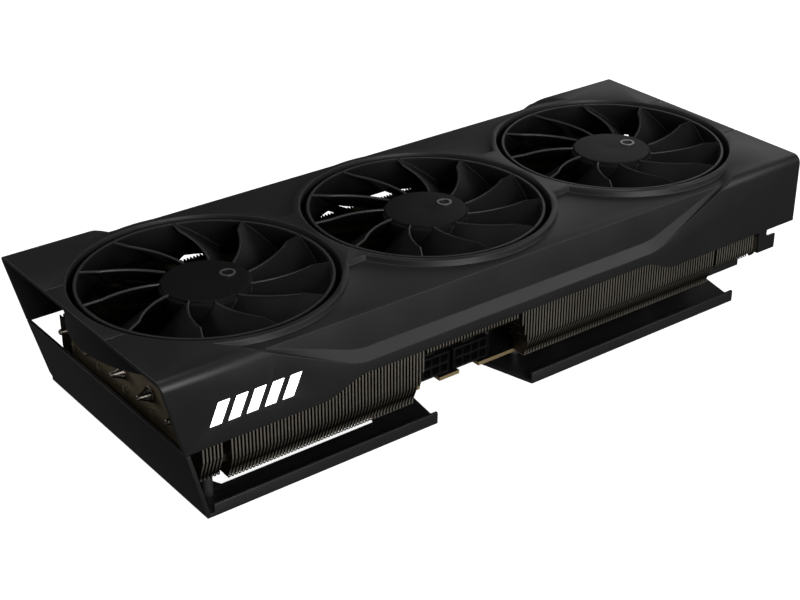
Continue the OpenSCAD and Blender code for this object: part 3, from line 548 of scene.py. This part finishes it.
def short_edge(foot):
    """Edge of a short fin: down the near side, round the corner and inward along its foot."""
    return [
        (FIN_NEAR, FIN_STEP_Z + 2 * MM), (FIN_NEAR, foot + 1.2 * MM),
        (FIN_NEAR + 0.4 * MM, foot + 0.3 * MM), (FIN_NEAR + 1.5 * MM, foot), (FIN_NEAR + 5 * MM, foot),
    ]


def flange_row(maker, from_tail, paths):
    """Folded edges on fins one pitch apart, the first from_tail mm from the tail end."""
    for k, path in enumerate(paths):
        flange(maker, TAIL_X + from_tail * MM + k * FIN_PITCH, path)


def flanges():
    """Folded near edges of the three fin stacks, in the same groups as the CAD fins, in a lighter copy of
    the fin metal that paints in their highlight.
    """
    long_tail_end = long_edge(foot=13 * MM, slant_h=9 * MM)
    long_tail = long_edge(foot=10 * MM, slant_h=9 * MM)
    long_head = long_edge(foot=11.4 * MM, slant_h=9 * MM)
    long_head_end = long_edge(foot=16.5 * MM, slant_h=4 * MM)
    over_sockets = short_edge(foot=31.6 * MM)

    maker = bmesh.new()
    flange_row(maker, 16, [long_tail_end] * 6)
    flange_row(maker, 28, [long_tail] * 56)
    flange_row(maker, 113.1, [short_edge(foot * MM) for foot in (19, 24)])
    finished(maker, "flanges_tail", "fin_metal", finish="fin_edge_lit")

    maker = bmesh.new()
    flange_row(maker, 116.8, [over_sockets] * 31)
    finished(maker, "flanges_middle", "fin_metal", finish="fin_edge_lit")

    maker = bmesh.new()
    flange_row(maker, 165.4, [short_edge(foot * MM) for foot in (27.5, 22.7, 18.4)])
    flange_row(maker, 170, [long_head] * 71)
    flange_row(maker, 279, [long_head_end] * 16)
    finished(maker, "flanges_head", "fin_metal", finish="fin_edge_lit")


# ------------------------------------------------------------------ heat pipes

PIPES = 5
PIPE_R = 3 * MM
RIBS = 6
BEAD_STEPS = 24
COLLAR_STEPS = 48


def pipe_places():
    """Where the axes of the heat pipes leave the tail block: a list of y, and their height."""
    low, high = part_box("heat_pipes")
    first = low.y + PIPE_R
    last = high.y - PIPE_R
    return [first + (last - first) * k / (PIPES - 1) for k in range(PIPES)], high.z - PIPE_R


def rib(maker, start, end, k):
    """A low ridge along the crimped cone of a heat pipe, at the kth of the places round it."""
    turn = math.tau * (k + 0.25) / RIBS
    out = Vector((0, math.cos(turn), math.sin(turn)))
    side = Vector((0, -math.sin(turn), math.cos(turn)))
    sunk = 0.2 * MM
    proud = 0.22 * MM
    tip_r, tip_half = 0.95 * MM, 0.18 * MM
    root_r, root_half = 2.95 * MM, 0.5 * MM
    rows = []
    for place, radius, half in ((start, tip_r, tip_half), (end, root_r, root_half)):
        rows.append([maker.verts.new(place + out * (radius - sunk) - side * half),
                     maker.verts.new(place + out * (radius + proud)),
                     maker.verts.new(place + out * (radius - sunk) + side * half)])
    first, last = rows
    for j in range(3):
        n = (j + 1) % 3
        maker.faces.new((first[j], last[j], last[n], first[n]))
    maker.faces.new(first)
    maker.faces.new(last)


def pipe_tips():
    """Swaged bead, crimped cone ribs and collar on each heat pipe's tail end."""
    rows_y, pipe_z = pipe_places()
    tip_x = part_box("heat_pipes")[0].x
    face_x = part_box("fin_stack_tail")[0].x
    bead = [(NEARLY_AXIS, 0.0), (1.0 * MM, 0.05 * MM), (1.25 * MM, 0.8 * MM), (1.1 * MM, 1.4 * MM),
            (NEARLY_AXIS, 1.6 * MM)]
    collar_in = 2.95 * MM
    collar_out = 3.35 * MM
    outside, inside = -1.2 * MM, 0.1 * MM
    collar = [(collar_in, outside), (collar_out, outside), (collar_out, inside), (collar_in, inside)]
    maker = bmesh.new()
    for y in rows_y:
        lathe(maker, rounded(bead, 0.3 * MM, 3), Vector((tip_x, y, pipe_z)), BEAD_STEPS, LENGTHWAYS)
        lathe(maker, rounded(collar, 0.15 * MM, 3), Vector((face_x, y, pipe_z)), COLLAR_STEPS, LENGTHWAYS)
        start = Vector((tip_x + 1.2 * MM, y, pipe_z))
        end = Vector((face_x - 0.8 * MM, y, pipe_z))
        for k in range(RIBS):
            rib(maker, start, end, k)
    finished(maker, "pipe_tips", "heat_pipe")


# ------------------------------------------------------------------ outermost fin

def fin_hooks():
    """Small J-shaped folds under each heat pipe on the outermost fin, in the lighter copy of the fin
    metal that paints in their highlight.
    """
    rows_y, pipe_z = pipe_places()
    face_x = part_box("fin_stack_tail")[0].x
    radius = 1.3 * MM
    bottom = pipe_z - 8.2 * MM
    outside = 0.7 * MM
    hook_w = 0.75 * MM
    steps = 8
    maker = bmesh.new()
    for y in rows_y:
        path = [(y - radius, bottom + 2.6 * MM)]
        for k in range(steps + 1):
            a = math.pi * k / steps
            path.append((y - radius * math.cos(a), bottom - radius * math.sin(a)))
        path.append((y + radius, bottom + 1.0 * MM))
        flange(maker, face_x - outside, path, hook_w)
    finished(maker, "fin_hooks", "fin_metal", finish="fin_edge_lit")


def outer_fin_reflection():
    """Plain sheet over the middle of the outermost fin, which faces the open tail end, in a lighter copy
    of the fin metal that paints in its reflection of the white floor.
    """
    low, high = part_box("fin_stack_tail")
    side_inset = 9 * MM
    foot_inset = 12 * MM
    top_inset = 1 * MM
    sheet_t = 0.12 * MM
    near_y, far_y = low.y + side_inset, high.y - side_inset
    low_z, high_z = low.z + foot_inset, high.z - top_inset
    corners = [(near_y, low_z), (far_y, low_z), (far_y, high_z), (near_y, high_z)]
    maker = bmesh.new()
    front = [maker.verts.new((low.x - sheet_t, y, z)) for y, z in corners]
    back = [maker.verts.new((low.x, y, z)) for y, z in corners]
    maker.faces.new(front)
    maker.faces.new(back)
    for k in range(4):
        n = (k + 1) % 4
        maker.faces.new((front[k], front[n], back[n], back[k]))
    finished(maker, "outer_fin_reflection", "fin_metal", finish="fin_face_reflection")


# ------------------------------------------------------------------ build

softened("shroud", "shroud_plastic", 0.35 * MM, "shroud_soft")
softened("backplate", "backplate_metal", 0.25 * MM, "backplate_soft")
for i in (1, 2):
    softened(f"power_connector_{i}", "connector_black", 0.15 * MM, f"power_housing_{i}")
for i in (1, 2, 3):
    rotor(i)
    rotor_edge_highlights(i)
flanges()
pipe_tips()
fin_hooks()
outer_fin_reflection()

# ------------------------------------------------------------------ stage

FLOOR_HALF = 3.0
# Just under the card, so that the floor and the backplate never share a plane.
FLOOR_Z = -0.3 * MM
ROOM_LIGHT = 0.045


def soft_light(name, place, target, width, power):
    """A round area light at place, aimed at target."""
    lamp = bpy.data.lights.new(name, "AREA")
    lamp.shape = "DISK"
    lamp.size = width
    lamp.energy = power
    lamp_object = bpy.data.objects.new(name, lamp)
    lamp_object.location = place
    lamp_object.rotation_euler = (Vector(target) - Vector(place)).to_track_quat("-Z", "Y").to_euler()
    bpy.context.scene.collection.objects.link(lamp_object)


floor_mesh = bpy.data.meshes.new("floor")
maker = bmesh.new()
bmesh.ops.create_grid(maker, x_segments=1, y_segments=1, size=FLOOR_HALF)
maker.to_mesh(floor_mesh)
maker.free()
floor = bpy.data.objects.new("floor", floor_mesh)
floor.location.z = FLOOR_Z
bpy.context.scene.collection.objects.link(floor)
floor_mesh.materials.append(surface("floor", (0.9, 0.9, 0.9), 0.9, variation=0.01, bump=0.0, glow=1.0))
# The floor shows white in the camera's view without lighting the card from below. Seen from
# low down, its far part is a very pale grey.
floor.visible_diffuse = False
floor.visible_glossy = False

world = bpy.data.worlds.new("studio")
bpy.context.scene.world = world
world.use_nodes = True
world.node_tree.nodes["Background"].inputs["Color"].default_value = (1, 1, 1, 1)
world.node_tree.nodes["Background"].inputs["Strength"].default_value = ROOM_LIGHT

# Name, place, point aimed at, width in metres and power in watts.
LIGHTS = (
    ("behind", (0.72, 0.44, 0.37), (0.05, 0, 0.03), 0.6, 0.5),
    ("above_front", (0.60, -0.55, 0.50), (0, 0, 0.03), 0.5, 1.5),
    ("low_front", (-0.15, -0.95, 0.30), (-0.04, 0, 0.03), 0.6, 5.0),
    ("overhead", (-0.30, 0.15, 1.0), (-0.08, 0, 0.03), 0.6, 1.6),
    ("far_side", (-0.80, 0.90, 0.35), (0, 0, 0.03), 0.6, 1.5),
)
for light in LIGHTS:
    soft_light(*light)

CAMERA_LENS = 72.6
CAMERA_AZIMUTH = math.radians(37.34)
CAMERA_ELEVATION = math.radians(28.13)
CAMERA_DISTANCE = 0.6635
CAMERA_TARGET = Vector((-0.0249, -0.0150, 0.030))

# Direction from the target back to the camera.
back = Vector((
    -math.sin(CAMERA_AZIMUTH) * math.cos(CAMERA_ELEVATION),
    -math.cos(CAMERA_AZIMUTH) * math.cos(CAMERA_ELEVATION),
    math.sin(CAMERA_ELEVATION),
))
camera_data = bpy.data.cameras.new("camera")
camera_data.lens = CAMERA_LENS
camera = bpy.data.objects.new("camera", camera_data)
camera.location = CAMERA_TARGET + CAMERA_DISTANCE * back
camera.rotation_euler = back.to_track_quat("Z", "Y").to_euler()
bpy.context.scene.collection.objects.link(camera)
bpy.context.scene.camera = camera
bpy.context.scene.view_settings.view_transform = "Standard"
